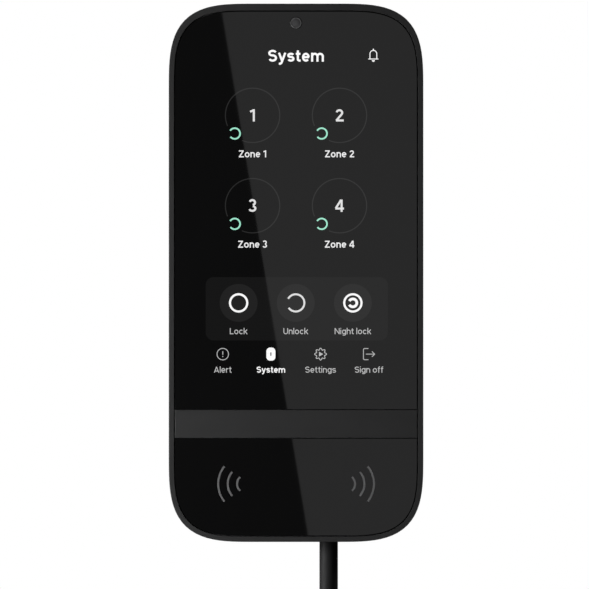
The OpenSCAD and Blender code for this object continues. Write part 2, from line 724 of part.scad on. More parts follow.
wall_bracket();
holding_screw();
rear_housing();
front_frame();
display_glass();
reader_glass();
indicator_strip();
glass_tape();
optical_bond();
sensor_lens();
light_pipe();
light_sensor();
lcd_panel();
lcd_backlight();
lcd_tray();
display_flex();
touch_flex();
main_board();
board_screws();
board_chips();
shield_cans();
board_sockets();
rf_antenna();
buzzer();
reader_board();
reader_coil();
light_guide();
led_board();
leds();
battery_cell_left();
battery_cell_right();
battery_contacts();
battery_spring();
service_door();
door_screws();
power_board();
power_parts();
terminal_block();
terminal_screws();
cable_grommet();
cable_clamp();
clamp_screws();
cable_entry();
supply_wires();
link_wires();
case_screws();
tamper_button();
tamper_spring();
tamper_switch();
power_button();
power_switch();
rating_label();
supply_cable();
cable_hank();
cable_tail();
hank_tie();
dc_plug_body();
dc_plug_barrel();
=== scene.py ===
"""Looks of the alarm keypad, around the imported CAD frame.

Lengths are in millimetres and turn into metres where a mesh is made. A depth is a distance from the
wall, along -Y. The sizes repeat those of part.scad.
"""

import math

import bmesh
import bpy
from mathutils import Matrix, Vector


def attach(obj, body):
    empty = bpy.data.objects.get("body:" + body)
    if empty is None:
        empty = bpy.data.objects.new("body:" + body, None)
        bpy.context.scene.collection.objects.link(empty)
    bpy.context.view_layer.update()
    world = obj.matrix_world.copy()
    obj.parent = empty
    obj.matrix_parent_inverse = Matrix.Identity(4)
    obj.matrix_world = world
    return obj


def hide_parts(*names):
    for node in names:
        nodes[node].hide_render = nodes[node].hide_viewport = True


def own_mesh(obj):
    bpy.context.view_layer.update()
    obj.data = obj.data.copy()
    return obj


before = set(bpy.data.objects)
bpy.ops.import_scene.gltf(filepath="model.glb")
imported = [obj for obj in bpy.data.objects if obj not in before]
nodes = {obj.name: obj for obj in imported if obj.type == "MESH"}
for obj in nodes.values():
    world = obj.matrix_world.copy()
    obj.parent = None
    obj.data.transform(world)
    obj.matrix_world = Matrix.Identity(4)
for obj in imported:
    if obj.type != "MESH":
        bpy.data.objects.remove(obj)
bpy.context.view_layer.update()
scene = bpy.context.scene
MM = 0.001

# Case
BODY_W, BODY_H, BODY_D = 82, 173.4, 22
BOTTOM = -BODY_H / 2
CORNER_REACH, CORNER_POWER = 27.6, 3.3
# How fast the corner's reach shrinks with an inset, so that a rim keeps its width round the corner
CORNER_SHRINK = (1 - math.sqrt(0.5)) / (1 - 0.5 ** (1 / CORNER_POWER))
WALL = 2
SPLIT = 11.5
RIM = 1.7
END_RIM = 0.25
GLASS_GAP = 0.3
GLASS_DROP = 0.25
GLASS_BACK = BODY_D - 1.1
TAPE_BACK = GLASS_BACK - 0.3
STRIP_TOP, STRIP_BOTTOM = -44.2, -53.2
LENS_Z, LENS_R = 80.45, 1.75
SCREW_COLUMNS, SCREW_ROWS = (-36.2, 36.2), (-38, 58)

# Supply lead
CABLE_R = 3
CABLE_X, CABLE_DEPTH = 10.6, 8
TAIL_DEPTH = 14.3
HANK_TOP, HANK_BOTTOM = -142, -200
HANK_X = -20.9
TURN_R = (31.5, 25.2, 18.9)
PLUG_TOP = -239
GRIP_LENGTH = 23


def at(x, depth, z):
    return Vector((x, -depth, z)) * MM


# Camera -------------------------------------------------------------------------------------------

VIEW_WIDTH = 189.7
VIEW_X, VIEW_Z = -0.5, -7.0
LENS, SENSOR = 300, 36
VIEW_DISTANCE = VIEW_WIDTH * LENS / SENSOR


def make_camera():
    data = bpy.data.cameras.new("camera")
    data.lens, data.sensor_width = LENS, SENSOR
    data.clip_start, data.clip_end = 0.05, 50
    camera = bpy.data.objects.new("camera", data)
    scene.collection.objects.link(camera)
    camera.location = at(VIEW_X, BODY_D + VIEW_DISTANCE, VIEW_Z)
    camera.rotation_euler = (math.pi / 2, 0, 0)
    scene.camera = camera


make_camera()


# Cord ---------------------------------------------------------------------------------------------

def ease(t):
    t = min(max(t, 0), 1)
    return t * t * (3 - 2 * t)


def lead_route():
    """Down from the case, five turns in two layers, inwards then outwards, and down to the plug."""
    steps = 24
    drop, rest = HANK_TOP - BOTTOM, PLUG_TOP - HANK_BOTTOM
    route = [(CABLE_X, CABLE_DEPTH, BOTTOM + drop * i / 12) for i in range(12)]

    def side(x, depth, start, end):
        return [(x, depth, start + (end - start) * i / 8) for i in range(8)]

    def fold(middle, start, radius, depth):
        points = []
        for i in range(steps):
            turn = math.radians(start - 180 * i / steps)
            r = radius(i / steps)
            x, z = HANK_X + r * math.cos(turn), middle + r * math.sin(turn)
            points.append((x, depth(i / steps), z))
        return points

    # radius on the right, the left and the right again, and depth before and after the lower fold
    outer, middle, inner = TURN_R
    turns = [
        (outer, outer, middle, CABLE_DEPTH, CABLE_DEPTH),
        (middle, middle, inner, CABLE_DEPTH, CABLE_DEPTH),
        (inner, inner, inner, CABLE_DEPTH, TAIL_DEPTH),
        (inner, middle, middle, TAIL_DEPTH, TAIL_DEPTH),
        (middle, outer, outer, TAIL_DEPTH, TAIL_DEPTH),
    ]
    for right, left, back, near, far in turns:
        route += side(HANK_X + right, near, HANK_TOP, HANK_BOTTOM)
        route += fold(
            HANK_BOTTOM, 0,
            lambda t: right + (left - right) * ease(2 * t),
            lambda t: near + (far - near) * ease(2 * t - 1),
        )
        route += side(HANK_X - left, far, HANK_BOTTOM, HANK_TOP)
        route += fold(HANK_TOP, 180, lambda t: left + (back - left) * ease(t), lambda t: far)
    route += side(HANK_X + outer, TAIL_DEPTH, HANK_TOP, HANK_BOTTOM)
    route += [(CABLE_X, TAIL_DEPTH, HANK_BOTTOM + rest * i / 6) for i in range(7)]
    return [at(*p) for p in route]


def make_lead():
    curve = bpy.data.curves.new("supply_lead", "CURVE")
    curve.dimensions = "3D"
    curve.bevel_depth = CABLE_R * MM
    curve.bevel_resolution = 7
    curve.use_fill_caps = True
    spline = curve.splines.new("POLY")
    route = lead_route()
    spline.points.add(len(route) - 1)
    for point, place in zip(spline.points, route):
        point.co = (*place, 1)
    spline.use_smooth = True
    lead = bpy.data.objects.new("supply_lead", curve)
    scene.collection.objects.link(lead)
    return lead


# Mesh tools ---------------------------------------------------------------------------------------

# How strongly large faces lead the normals, out of 100
NORMAL_WEIGHT = 80

# From a drawing in x, y and depth to the keypad's place
FACE = Matrix(((MM, 0, 0, 0), (0, 0, -MM, 0), (0, MM, 0, 0), (0, 0, 0, 1)))


def cleaned(mesh):
    bm = bmesh.new()
    bm.from_mesh(mesh)
    bmesh.ops.remove_doubles(bm, verts=bm.verts, dist=0.0005 * MM)
    bmesh.ops.dissolve_degenerate(bm, edges=bm.edges, dist=0.0002 * MM)
    bmesh.ops.recalc_face_normals(bm, faces=bm.faces)
    bm.to_mesh(mesh)
    bm.free()
    return mesh


def curve_mesh(curve, near, far, bevel):
    """Mesh of a filled flat curve between two depths."""
    curve.dimensions = "2D"
    curve.fill_mode = "BOTH"
    curve.extrude = (far - near) / 2 - bevel
    curve.bevel_depth = bevel
    curve.bevel_resolution = 2
    obj = bpy.data.objects.new("drawing", curve)
    scene.collection.objects.link(obj)
    mesh = bpy.data.meshes.new_from_object(obj.evaluated_get(bpy.context.evaluated_depsgraph_get()))
    bpy.data.objects.remove(obj)
    bpy.data.curves.remove(curve)
    mesh.transform(FACE @ Matrix.Translation((0, 0, (near + far) / 2)))
    return cleaned(mesh)


def plate(loops, near, far, bevel=0.0):
    """Flat plate: the first loop is its edge, and the others are holes."""
    curve = bpy.data.curves.new("plate", "CURVE")
    curve.offset = -bevel
    curve.dimensions = "2D"
    for loop in loops:
        spline = curve.splines.new("POLY")
        spline.points.add(len(loop) - 1)
        for point, place in zip(spline.points, loop):
            point.co = (place[0], place[1], 0, 1)
        spline.use_cyclic_u = True
    return curve_mesh(curve, near, far, bevel)


def loft(rings, ring_closed=False):
    """Skin over rings of as many points each. The ends are capped, or joined if ring_closed."""
    bm = bmesh.new()
    rows = [[bm.verts.new(p) for p in ring] for ring in rings]
    count = len(rows[0])
    pairs = list(zip(rows, rows[1:]))
    if ring_closed:
        pairs.append((rows[-1], rows[0]))
    else:
        bm.faces.new(rows[0][::-1])
        bm.faces.new(rows[-1])
    for a, b in pairs:
        for i in range(count):
            j = (i + 1) % count
            bm.faces.new((a[i], a[j], b[j], b[i]))
    bmesh.ops.recalc_face_normals(bm, faces=bm.faces)
    mesh = bpy.data.meshes.new("loft")
    bm.to_mesh(mesh)
    bm.free()
    return mesh


def turned(profile, place, sides=64, down=False, closed=False):
    """Body of revolution: profile is (radius, height) pairs. It points to the room, or down."""
    rings = []
    for radius, height in profile:
        ring = []
        for i in range(sides):
            turn = 2 * math.pi * i / sides
            u, v = radius * math.cos(turn), radius * math.sin(turn)
            if down:
                ring.append(at(place[0] + u, place[1] + v, place[2] - height))
            else:
                ring.append(at(place[0] + u, place[1] + height, place[2] + v))
        rings.append(ring)
    return loft(rings, closed)


def soften(obj, angle, flat_face):
    """Smooth faces, hard edges where they turn by more than angle, and if asked a flat front."""
    mesh = obj.data
    for face in mesh.polygons:
        face.use_smooth = True
    mesh.set_sharp_from_angle(angle=math.radians(angle))
    for face in mesh.polygons:
        face.use_smooth = not (flat_face and abs(face.normal.y) > 0.9999)
    if not flat_face:
        weigh = obj.modifiers.new("even_normals", "WEIGHTED_NORMAL")
        weigh.keep_sharp = True
        weigh.weight = NORMAL_WEIGHT


def piece(name, parts, material, slot=None, replaces=(), angle=35, flat_face=False):
    """One object of several meshes, on the keypad."""
    bm = bmesh.new()
    for part in parts:
        bm.from_mesh(part)
        bpy.data.meshes.remove(part)
    mesh = bpy.data.meshes.new(name)
    bm.to_mesh(mesh)
    bm.free()
    mesh.materials.append(material)
    obj = bpy.data.objects.new(name, mesh)
    scene.collection.objects.link(obj)
    soften(obj, angle, flat_face)
    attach(obj, "keypad")
    if replaces:
        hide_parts(*replaces)
    return obj


# Outlines -----------------------------------------------------------------------------------------

def outline(inset=0.0, glass=False, count=240):
    """Edge of the case, or of the glass, moved in by inset, as points at even steps along it."""
    ends, drop = (END_RIM, GLASS_DROP) if glass else (0, 0)
    reach = CORNER_REACH - inset * CORNER_SHRINK
    power = 2 / CORNER_POWER
    fine = []
    for sx, sz, quarter in ((1, 1, 0), (-1, 1, 1), (-1, -1, 2), (1, -1, 3)):
        for i in range(120):
            # crowded towards the ends of the corner, where the curve leaves the straight side
            turn = math.pi / 2 * (quarter + ease(ease(i / 119)))
            cut_x = reach * (1 - abs(math.cos(turn)) ** power)
            cut_z = reach * (1 - abs(math.sin(turn)) ** power)
            fine.append((
                sx * (BODY_W / 2 - inset - cut_x),
                sz * (BODY_H / 2 - inset - ends - cut_z) - drop,
            ))
    return resampled(fine, count)


def resampled(loop, count):
    loop = loop + loop[:1]
    lengths = [0.0]
    for a, b in zip(loop, loop[1:]):
        lengths.append(lengths[-1] + math.dist(a, b))
    points, j = [], 0
    for i in range(count):
        want = lengths[-1] * i / count
        while lengths[j + 1] < want:
            j += 1
        span = lengths[j + 1] - lengths[j]
        t = (want - lengths[j]) / span if span else 0
        points.append(tuple(a + (b - a) * t for a, b in zip(loop[j], loop[j + 1])))
    return points


def between(loop, low, high):
    """The stretch of a convex loop between two heights."""
    for limit, side in ((low, 1), (high, -1)):
        kept = []
        for a, b in zip(loop, loop[1:] + loop[:1]):
            inside_a, inside_b = (a[1] - limit) * side >= 0, (b[1] - limit) * side >= 0
            if inside_a:
                kept.append(a)
            if inside_a != inside_b:
                t = (limit - a[1]) / (b[1] - a[1])
                kept.append((a[0] + (b[0] - a[0]) * t, limit))
        loop = kept
    return loop


def ring_of(inset, depth, glass=False):
    return [at(x, depth, z) for x, z in outline(inset, glass)]


def circle(x, z, radius, count=64):
    turns = [2 * math.pi * i / count for i in range(count)]
    return [(x + radius * math.cos(turn), z + radius * math.sin(turn)) for turn in turns]


def rounded(x0, x1, z0, z1, radius, count=10):
    loop = []
    for cx, cz, start in ((x1 - radius, z1 - radius, 0), (x0 + radius, z1 - radius, 90),
                          (x0 + radius, z0 + radius, 180), (x1 - radius, z0 + radius, 270)):
        for i in range(count + 1):
            turn = math.radians(start + 90 * i / count)
            loop.append((cx + radius * math.cos(turn), cz + radius * math.sin(turn)))
    return loop


def arc(x, z, radius, start, end, count=40):
    turns = [math.radians(start + (end - start) * i / count) for i in range(count + 1)]
    return [(x + radius * math.cos(turn), z + radius * math.sin(turn)) for turn in turns]


# How far marks stand out of the glass, and how far they reach into it
MARK_PROUD, MARK_SUNK = 0.05, 0.02


def line(path, width, proud=MARK_PROUD, closed=False, round_ends=False):
    """Raised line of some width on the face of the glass, along a path."""
    half = width / 2
    last = len(path) - 1
    near, far = BODY_D - MARK_SUNK, BODY_D + proud
    rings = []

    def rib(p, normal):
        (x, z), (u, v) = p, normal
        rings.append([
            at(x + u, near, z + v), at(x - u, near, z - v),
            at(x - u, far, z - v), at(x + u, far, z + v),
        ])

    def end(tip, along, angles):
        for turn in angles:
            reach = half * math.sin(math.radians(turn))
            wide = half * math.cos(math.radians(turn))
            place = (tip[0] + along.x * reach, tip[1] + along.y * reach)
            rib(place, Vector((-along.y, along.x)) * wide)

    points = [Vector(p) for p in path]
    if round_ends:
        end(path[0], (points[1] - points[0]).normalized(), (-78, -55, -28))
    for i, p in enumerate(points):
        before = points[i - 1] if i or closed else p
        after = points[(i + 1) % (last + 1)] if i < last or closed else p
        into = (p - before).normalized() if p != before else (after - p).normalized()
        out = (after - p).normalized() if p != after else into
        along = (into + out).normalized()
        rib(p, Vector((-along.y, along.x)) * half / max(along.dot(into), 0.5))
    if round_ends:
        end(path[-1], (points[-1] - points[-2]).normalized(), (28, 55, 78))
    return loft(rings, closed)


def disc(loop, proud=MARK_PROUD):
    """Raised shape on the face of the glass."""
    depths = (BODY_D - MARK_SUNK, BODY_D + proud)
    return loft([[at(x, depth, z) for x, z in loop] for depth in depths])


# Materials ----------------------------------------------------------------------------------------

def node(tree, kind, inputs=None, **settings):
    made = tree.nodes.new(kind)
    for key, value in settings.items():
        setattr(made, key, value)
    for key, value in (inputs or {}).items():
        if isinstance(value, bpy.types.NodeSocket):
            tree.links.new(value, made.inputs[key])
        else:
            made.inputs[key].default_value = value
    return made


def noise(tree, place, size, detail=3.0):
    """Noise whose lumps are about size across."""
    return node(tree, "ShaderNodeTexNoise", {
        "Vector": place, "Scale": 1 / (size * MM), "Detail": detail, "Roughness": 0.55,
    }).outputs["Fac"]


def spread(tree, value, low, high, start=0.3, end=0.7):
    return node(tree, "ShaderNodeMapRange", {
        "Value": value, "From Min": start, "From Max": end, "To Min": low, "To Max": high,
    }).outputs["Result"]


def maths(tree, operation, a, b):
    return node(tree, "ShaderNodeMath", {0: a, 1: b}, operation=operation).outputs[0]


def shade(colour, factor):
    return (*[min(c * factor, 1) for c in colour[:3]], 1)


def blend_colour(tree, factor, a, b):
    mix = node(tree, "ShaderNodeMix", data_type="RGBA")
    for key, value in ((0, factor), (6, a), (7, b)):
        if isinstance(value, bpy.types.NodeSocket):
            tree.links.new(value, mix.inputs[key])
        else:
            mix.inputs[key].default_value = value
    return mix.outputs[2]


def surface(name, colour, rough, metal=0.0, specular=0.5, mottle=0.12, mottle_size=9.0, grain=0.35,
            depth=0.006, stretch=(1, 1, 1), gloss=0.05, wear=0.0, coat=0.0, glow=0.0, pattern=None,
            second=None):
    """Material of uneven colour and gloss, with a fine relief, and if asked wear or a pattern."""
    material = bpy.data.materials.new(name)
    material.use_nodes = True
    tree = material.node_tree
    bsdf = tree.nodes["Principled BSDF"]
    bsdf.inputs["Metallic"].default_value = metal
    bsdf.inputs["Specular IOR Level"].default_value = specular
    bsdf.inputs["Emission Color"].default_value = (1, 1, 1, 1)
    bsdf.inputs["Emission Strength"].default_value = glow
    if coat:
        bsdf.inputs["Coat Weight"].default_value = coat
        bsdf.inputs["Coat Roughness"].default_value = 0.08
    where = node(tree, "ShaderNodeTexCoord").outputs["Object"]
    drawn = node(tree, "ShaderNodeMapping", {"Vector": where, "Scale": stretch}).outputs["Vector"]
    patches = noise(tree, where, mottle_size)
    low, high = shade(colour, 1 - mottle), shade(colour, 1 + mottle)
    base = blend_colour(tree, spread(tree, patches, 0, 1), low, high)
    fine = noise(tree, drawn, grain, 2.0)
    height = fine
    if pattern:
        base, height = pattern(tree, where, base, second, fine)
    if wear:
        # paler where outer edges are rubbed
        edge = node(tree, "ShaderNodeNewGeometry").outputs["Pointiness"]
        sharp, worn = spread(tree, edge, 0, wear, 0.52, 0.62), spread(tree, patches, 0.2, 1.0)
        rubbed = maths(tree, "MULTIPLY", sharp, worn)
        base = blend_colour(tree, rubbed, base, shade(colour, 4))
    tree.links.new(base, bsdf.inputs["Base Color"])
    streaks = noise(tree, drawn, mottle_size / 3)
    uneven = spread(tree, streaks, max(rough - gloss, 0.01), rough + gloss)
    tree.links.new(uneven, bsdf.inputs["Roughness"])
    bump = node(tree, "ShaderNodeBump", {"Strength": 1.0, "Distance": depth * MM, "Height": height})
    tree.links.new(bump.outputs["Normal"], bsdf.inputs["Normal"])
    return material


def bands(tree, place, gap, axis, distortion=0.0):
    """Waves a gap apart along an axis."""
    return node(tree, "ShaderNodeTexWave", {
        "Vector": place, "Scale": math.pi / (10 * gap * MM), "Distortion": distortion,
    }, wave_type="BANDS", bands_direction=axis).outputs["Fac"]


def glass_like(name, colour, rough=0.011, glow=None, strength=0.0):
    """Polished black glass, or a lit mark that shows through it."""
    material = bpy.data.materials.new(name)
    material.use_nodes = True
    tree = material.node_tree
    bsdf = tree.nodes["Principled BSDF"]
    where = node(tree, "ShaderNodeTexCoord").outputs["Object"]
    # faint wiping marks, stretched along the glass
    wiped = node(tree, "ShaderNodeMapping",
                 {"Vector": where, "Scale": (1, 1, 0.35), "Rotation": (0, 0.4, 0)})
    smear = noise(tree, wiped.outputs["Vector"], 22, 4.0)
    tree.links.new(spread(tree, smear, rough * 0.7, rough * 1.4), bsdf.inputs["Roughness"])
    base = blend_colour(tree, smear, shade(colour, 0.8), shade(colour, 1.2))
    tree.links.new(base, bsdf.inputs["Base Color"])
    bsdf.inputs["IOR"].default_value = 1.5
    if glow:
        # faint rows, and the slightly uneven backlight
        rows = bands(tree, where, 0.36 * math.pi, "Z")
        uneven = spread(tree, noise(tree, where, 30), 0.96, 1.04)
        bright = maths(tree, "MULTIPLY", spread(tree, rows, 0.97, 1.03, 0, 1), uneven)
        tint = blend_colour(tree, bright, (0, 0, 0, 1), (*glow, 1))
        tree.links.new(tint, bsdf.inputs["Emission Color"])
        bsdf.inputs["Emission Strength"].default_value = strength
    return material


def board_pattern(tree, where, base, second, fine):
    """Straight copper tracks that show faintly through the solder mask, with small pads."""
    tracks = 0
    for turn, gap in ((0, 1.7), (math.pi / 2, 2.3)):
        laid = node(tree, "ShaderNodeMapping",
                    {"Vector": where, "Rotation": (0, turn, 0)}).outputs["Vector"]
        # whole bundles of tracks come and go over the board
        bundle = spread(tree, noise(tree, laid, 14, 0.0), 0, 1, 0.5, 0.52)
        wave = bands(tree, laid, gap, "X")
        copper = maths(tree, "MULTIPLY", spread(tree, wave, 0, 1, 0.80, 0.88), bundle)
        tracks = maths(tree, "MAXIMUM", tracks, copper)
    pads = node(tree, "ShaderNodeTexVoronoi",
                {"Vector": where, "Scale": 1 / (2.1 * MM)}).outputs["Distance"]
    dots = spread(tree, pads, 1, 0, 0.10, 0.14)
    strength = 0.16
    coloured = blend_colour(tree, maths(tree, "MULTIPLY", tracks, strength), base, second)
    coloured = blend_colour(tree, dots, coloured, second)
    return coloured, maths(tree, "MAXIMUM", tracks, dots)


def weave_pattern(tree, where, base, second, fine):
    """Crossing threads."""
    thread = 1.7756
    waves = [bands(tree, where, thread, axis, 0.3) for axis in ("Z", "DIAGONAL")]
    height = maths(tree, "ADD", *waves)
    return blend_colour(tree, spread(tree, height, 0, 1, 0.4, 1.6), base, second), height


def sleeve_pattern(tree, where, base, second, fine):
    """Printed sleeve of a cell: two colours with a soft-edged stripe between."""
    x = node(tree, "ShaderNodeSeparateXYZ", {"Vector": where}).outputs["X"]
    repeat = maths(tree, "PINGPONG", x, 34 * MM)
    return blend_colour(tree, spread(tree, repeat, 0, 1, 0.020, 0.0206), base, second), fine


GLASS_BLACK = (0.0025, 0.0025, 0.0026)
MATERIALS = {
    "bracket_plastic": surface("bracket_plastic", (0.020, 0.020, 0.022), 0.52, wear=0.25),
    "case_plastic": surface("case_plastic", (0.021, 0.021, 0.0215), 0.48, grain=0.4, depth=0.008,
                            wear=0.15),
    "frame_plastic": surface("frame_plastic", (0.028, 0.0281, 0.0284), 0.5, specular=0.3, grain=0.3,
                             depth=0.003, mottle=0.06),
    "cover_glass": glass_like("cover_glass", GLASS_BLACK),
    "satin_band": surface("satin_band", (0.027, 0.0271, 0.0274), 0.42, mottle=0.04, grain=0.12,
                          depth=0.0012, stretch=(0.12, 1, 1), gloss=0.03),
    "black_tape": surface("black_tape", (0.01, 0.01, 0.01), 0.7),
    "clear_bond": surface("clear_bond", (0.55, 0.57, 0.6), 0.15, depth=0.001, coat=0.3),
    "sensor_window": surface("sensor_window", (0.07, 0.07, 0.072), 0.16, depth=0.0005, gloss=0.02),
    "clear_plastic": surface("clear_plastic", (0.62, 0.66, 0.68), 0.18, depth=0.001, coat=0.4),
    "chip_tan": surface("chip_tan", (0.42, 0.38, 0.27), 0.5),
    "lcd_black": surface("lcd_black", (0.012, 0.013, 0.016), 0.12, depth=0.0005),
    "white_plastic": surface("white_plastic", (0.75, 0.76, 0.76), 0.45, mottle=0.04),
    "tray_steel": surface("tray_steel", (0.55, 0.56, 0.57), 0.32, metal=1, stretch=(0.08, 1, 1),
                          grain=0.2, depth=0.002),
    "flex_amber": surface("flex_amber", (0.42, 0.20, 0.04), 0.3, coat=0.2),
    "board_green": surface("board_green", (0.012, 0.055, 0.022), 0.34, coat=0.3, depth=0.03,
                           pattern=board_pattern, second=(0.28, 0.26, 0.12, 1)),
    "board_white": surface("board_white", (0.78, 0.78, 0.75), 0.4, depth=0.02,
                           pattern=board_pattern, second=(0.7, 0.68, 0.6, 1)),
    "chip_black": surface("chip_black", (0.018, 0.018, 0.019), 0.55, grain=0.15, depth=0.004),
    "socket_ivory": surface("socket_ivory", (0.68, 0.64, 0.52), 0.42),
    "copper": surface("copper", (0.80, 0.42, 0.24), 0.3, metal=1, stretch=(1, 1, 0.2), depth=0.002),
    "led_resin": surface("led_resin", (0.75, 0.66, 0.28), 0.25, coat=0.4),
    "cell_sleeve": surface("cell_sleeve", (0.05, 0.12, 0.20), 0.3, coat=0.5, depth=0.002,
                           pattern=sleeve_pattern, second=(0.45, 0.47, 0.5, 1)),
    "contact_nickel": surface("contact_nickel", (0.66, 0.65, 0.62), 0.25, metal=1,
                              stretch=(0.2, 1, 1), depth=0.002),
    "screw_steel": surface("screw_steel", (0.45, 0.455, 0.46), 0.3, metal=1, grain=0.2, depth=0.003,
                           wear=0.3),
    "terminal_green": surface("terminal_green", (0.03, 0.24, 0.08), 0.4),
    "cable_rubber": surface("cable_rubber", (0.013, 0.013, 0.0135), 0.62, specular=0.2, grain=0.5,
                            depth=0.006, stretch=(1, 1, 0.3), mottle=0.2),
    "wire_sleeve": surface("wire_sleeve", (0.30, 0.02, 0.02), 0.35, coat=0.2),
    "button_white": surface("button_white", (0.72, 0.72, 0.70), 0.4, mottle=0.04),
    "button_dark": surface("button_dark", (0.04, 0.04, 0.043), 0.42),
    "label_paper": surface("label_paper", (0.66, 0.66, 0.64), 0.6, mottle=0.03, grain=0.2,
                           depth=0.004),
    "tie_fabric": surface("tie_fabric", (0.013, 0.013, 0.014), 0.8, specular=0.3, depth=0.12,
                          pattern=weave_pattern, second=(0.03, 0.03, 0.032, 1)),
}

CAD_MATERIALS = {
    "bracket_plastic": ["wall_bracket"],
    "case_plastic": ["rear_housing", "service_door", "cable_clamp"],
    "frame_plastic": ["front_frame"],
    "cover_glass": ["display_glass", "reader_glass"],
    "satin_band": ["indicator_strip"],
    "black_tape": ["glass_tape"],
    "clear_bond": ["optical_bond"],
    "sensor_window": ["sensor_lens"],
    "clear_plastic": ["light_pipe", "light_guide"],
    "chip_tan": ["light_sensor"],
    "lcd_black": ["lcd_panel"],
    "white_plastic": ["lcd_backlight"],
    "tray_steel": ["lcd_tray", "shield_cans"],
    "flex_amber": ["display_flex", "touch_flex"],
    "board_green": ["main_board", "reader_board", "power_board"],
    "board_white": ["led_board"],
    "chip_black": ["board_chips", "power_parts", "buzzer", "tamper_switch", "power_switch"],
    "socket_ivory": ["board_sockets"],
    "copper": ["rf_antenna", "reader_coil"],
    "led_resin": ["leds"],
    "cell_sleeve": ["battery_cell_left", "battery_cell_right"],
    "contact_nickel": ["battery_contacts", "battery_spring", "tamper_spring", "dc_plug_barrel"],
    "screw_steel": ["holding_screw", "board_screws", "door_screws", "terminal_screws",
                    "clamp_screws", "case_screws"],
    "terminal_green": ["terminal_block"],
    "cable_rubber": ["cable_grommet", "cable_entry", "supply_cable", "cable_hank", "cable_tail",
                     "dc_plug_body"],
    "wire_sleeve": ["supply_wires", "link_wires"],
    "button_white": ["tamper_button"],
    "button_dark": ["power_button"],
    "label_paper": ["rating_label"],
    "tie_fabric": ["hank_tie"],
}


# Width of the rounded edges on large mouldings and on all else
LARGE = ("wall_bracket", "rear_housing", "service_door")
LARGE_EDGE, SMALL_EDGE = 0.18, 0.06


def dress_cad():
    """Materials for the CAD nodes, with small rounded edges and even normals."""
    for material, names in CAD_MATERIALS.items():
        for name in names:
            obj = nodes[name]
            mesh = obj.data
            mesh.materials.clear()
            mesh.materials.append(MATERIALS[material])
            for face in mesh.polygons:
                face.material_index = 0
                face.use_smooth = True
            if "custom_normal" in mesh.attributes:
                mesh.attributes.remove(mesh.attributes["custom_normal"])
            weld = obj.modifiers.new("weld", "WELD")
            weld.merge_threshold = 0.001 * MM
            bevel = obj.modifiers.new("edges", "BEVEL")
            bevel.width = (LARGE_EDGE if name in LARGE else SMALL_EDGE) * MM
            bevel.segments = 2
            bevel.limit_method = "ANGLE"
            bevel.angle_limit = math.radians(38)
            bevel.harden_normals = False
            weigh = obj.modifiers.new("even_normals", "WEIGHTED_NORMAL")
            weigh.weight = NORMAL_WEIGHT


dress_cad()


def finished(name, parts, slot, replaces=(), **options):
    """A piece with the material of its slot."""
    return piece(name, parts, MATERIALS[slot], slot, replaces, **options)


# Lead, tie and plug -------------------------------------------------------------------------------

def make_cord_pieces():
    lead = make_lead()
    lead.data.materials.append(MATERIALS["cable_rubber"])
    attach(lead, "keypad")
    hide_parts("supply_cable", "cable_hank", "cable_tail")

    grip = finished("plug_grip", plug_grip(), "cable_rubber", ["dc_plug_body"])
    barrel = finished("plug_barrel", plug_barrel(), "contact_nickel", ["dc_plug_barrel"])
    strap = finished("tie_strap", tie_strap(), "tie_fabric", ["hank_tie"])


def plug_grip():
    """Moulded grip: a ribbed cone round the lead, then a body with finger grooves."""
    cable_r, ribs, rib_pitch, rib_deep = CABLE_R + 0.35, 5, 1.8, 0.5
    grip_r, grooves, groove_pitch, groove_r = 5.0, 4, 1.9, 4.66
    profile = [(CABLE_R, 0.6), (CABLE_R, 0), (cable_r - 0.1, 0), (cable_r, 0.15)]
    for i in range(ribs):
        start = 0.6 + i * rib_pitch
        r = cable_r + 0.12 * i
        profile += [(r, start), (r - rib_deep, start + 0.25), (r - rib_deep, start + 0.75),
                    (r + 0.08, start + 1.0), (r + 0.1, start + 1.4)]
    profile += [(3.95, 9.8), (4.3, 10.1), (4.75, 10.5), (grip_r, 11.1), (grip_r, 12.8)]
    for i in range(grooves):
        start = 13.0 + i * groove_pitch
        profile += [(grip_r, start), (groove_r + 0.06, start + 0.25), (groove_r, start + 0.6),
                    (groove_r + 0.06, start + 0.95), (grip_r, start + 1.2)]
    profile += [(grip_r, 21.9), (4.9, 22.5), (4.6, 22.9), (4.2, GRIP_LENGTH)]
    return [turned(profile, (CABLE_X, TAIL_DEPTH, PLUG_TOP), 96, down=True)]


def plug_barrel():
    outer, bore, length = 2.75, 1.25, 9.5
    shell = [(outer, -0.4), (outer, length - 0.9), (outer - 0.05, length - 0.6),
             (2.5, length - 0.2), (2.3, length), (1.6, length), (bore + 0.1, length - 0.2),
             (bore, length - 0.4), (bore, 1.0), (bore, -0.4)]
    place = (CABLE_X, TAIL_DEPTH, PLUG_TOP - GRIP_LENGTH)
    return [turned(shell, place, 64, down=True, closed=True)]


